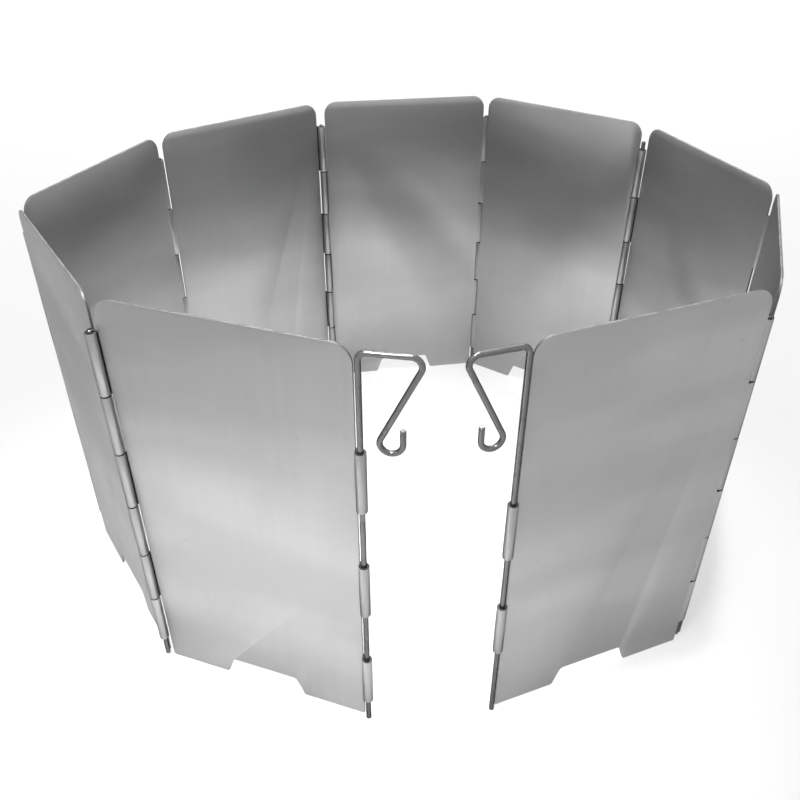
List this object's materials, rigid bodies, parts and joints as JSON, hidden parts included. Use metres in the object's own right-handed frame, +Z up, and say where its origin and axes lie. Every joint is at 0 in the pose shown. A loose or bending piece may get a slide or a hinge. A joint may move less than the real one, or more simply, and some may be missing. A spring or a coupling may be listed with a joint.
{
  "type": "stove windscreen",
  "caption": "Folding camp stove windscreen: sheet aluminium plates hinged in a row on wire pins, with a sliding bent wire ground peg in each free edge",
  "frame": {"origin": "on the ground, under the middle of the standing ring's outer box", "axes": "+Z up; the ring's front gap faces -Y; +X is to the right seen from the front"},
  "size_m": [0.2802, 0.2493, 0.157],
  "materials": {
    "aluminium_sheet": "satin rolled sheet, with a fine straight grain",
    "steel_wire": "smooth drawn wire"
  },
  "bodies": {
    "plate_1": {"plate_1": "aluminium_sheet"},
    "plate_2": {"plate_2": "aluminium_sheet", "hinge_pin_1": "steel_wire"},
    "plate_3": {"plate_3": "aluminium_sheet", "hinge_pin_2": "steel_wire"},
    "plate_4": {"plate_4": "aluminium_sheet", "hinge_pin_3": "steel_wire"},
    "plate_5": {"plate_5": "aluminium_sheet", "hinge_pin_4": "steel_wire", "hinge_pin_5": "steel_wire"},
    "plate_6": {"plate_6": "aluminium_sheet", "hinge_pin_6": "steel_wire"},
    "plate_7": {"plate_7": "aluminium_sheet", "hinge_pin_7": "steel_wire"},
    "plate_8": {"plate_8": "aluminium_sheet", "hinge_pin_8": "steel_wire"},
    "plate_9": {"plate_9": "aluminium_sheet"},
    "left_peg": {"left_peg": "steel_wire"},
    "right_peg": {"right_peg": "steel_wire"}
  },
  "joints": [
    {"name": "hinge_4", "type": "hinge", "parent": "plate_5", "child": "plate_4", "pos_m": [-0.04156, 0.10613, 0], "axis": [0, 0, 1], "range_deg": [0, 151.01]},
    {"name": "hinge_3", "type": "hinge", "parent": "plate_4", "child": "plate_3", "pos_m": [-0.10942, 0.05654, 0], "axis": [0, 0, -1], "range_deg": [0, 210.01]},
    {"name": "hinge_2", "type": "hinge", "parent": "plate_3", "child": "plate_2", "pos_m": [-0.13838, -0.02236, 0], "axis": [0, 0, 1], "range_deg": [0, 124.5]},
    {"name": "hinge_1", "type": "hinge", "parent": "plate_2", "child": "plate_1", "pos_m": [-0.09427, -0.09389, 0], "axis": [0, 0, -1], "range_deg": [0, 216.01]},
    {"name": "hinge_5", "type": "hinge", "parent": "plate_5", "child": "plate_6", "pos_m": [0.04098, 0.12193, 0], "axis": [0, 0, 1], "range_deg": [0, 224.51]},
    {"name": "hinge_6", "type": "hinge", "parent": "plate_6", "child": "plate_7", "pos_m": [0.1078, 0.07096, 0], "axis": [0, 0, -1], "range_deg": [0, 145]},
    {"name": "hinge_7", "type": "hinge", "parent": "plate_7", "child": "plate_8", "pos_m": [0.13838, -0.00732, 0], "axis": [0, 0, 1], "range_deg": [0, 219.51]},
    {"name": "hinge_8", "type": "hinge", "parent": "plate_8", "child": "plate_9", "pos_m": [0.10712, -0.08533, 0], "axis": [0, 0, -1], "range_deg": [0, 131.51]},
    {"name": "left_peg_slide", "type": "slide", "parent": "plate_1", "child": "left_peg", "axis": [0, 0, 1], "range_m": [-0.03, 0.09]},
    {"name": "right_peg_slide", "type": "slide", "parent": "plate_9", "child": "right_peg", "axis": [0, 0, 1], "range_m": [-0.052, 0.08]}
  ],
  "couplings": [
    {"joint": "hinge_4", "follows": "hinge_2", "ratio": 1.2129},
    {"joint": "hinge_3", "follows": "hinge_2", "ratio": 1.6867},
    {"joint": "hinge_1", "follows": "hinge_2", "ratio": 1.7349},
    {"joint": "hinge_5", "follows": "hinge_6", "ratio": 1.5483},
    {"joint": "hinge_7", "follows": "hinge_6", "ratio": 1.5138},
    {"joint": "hinge_8", "follows": "hinge_6", "ratio": 0.9069}
  ]
}
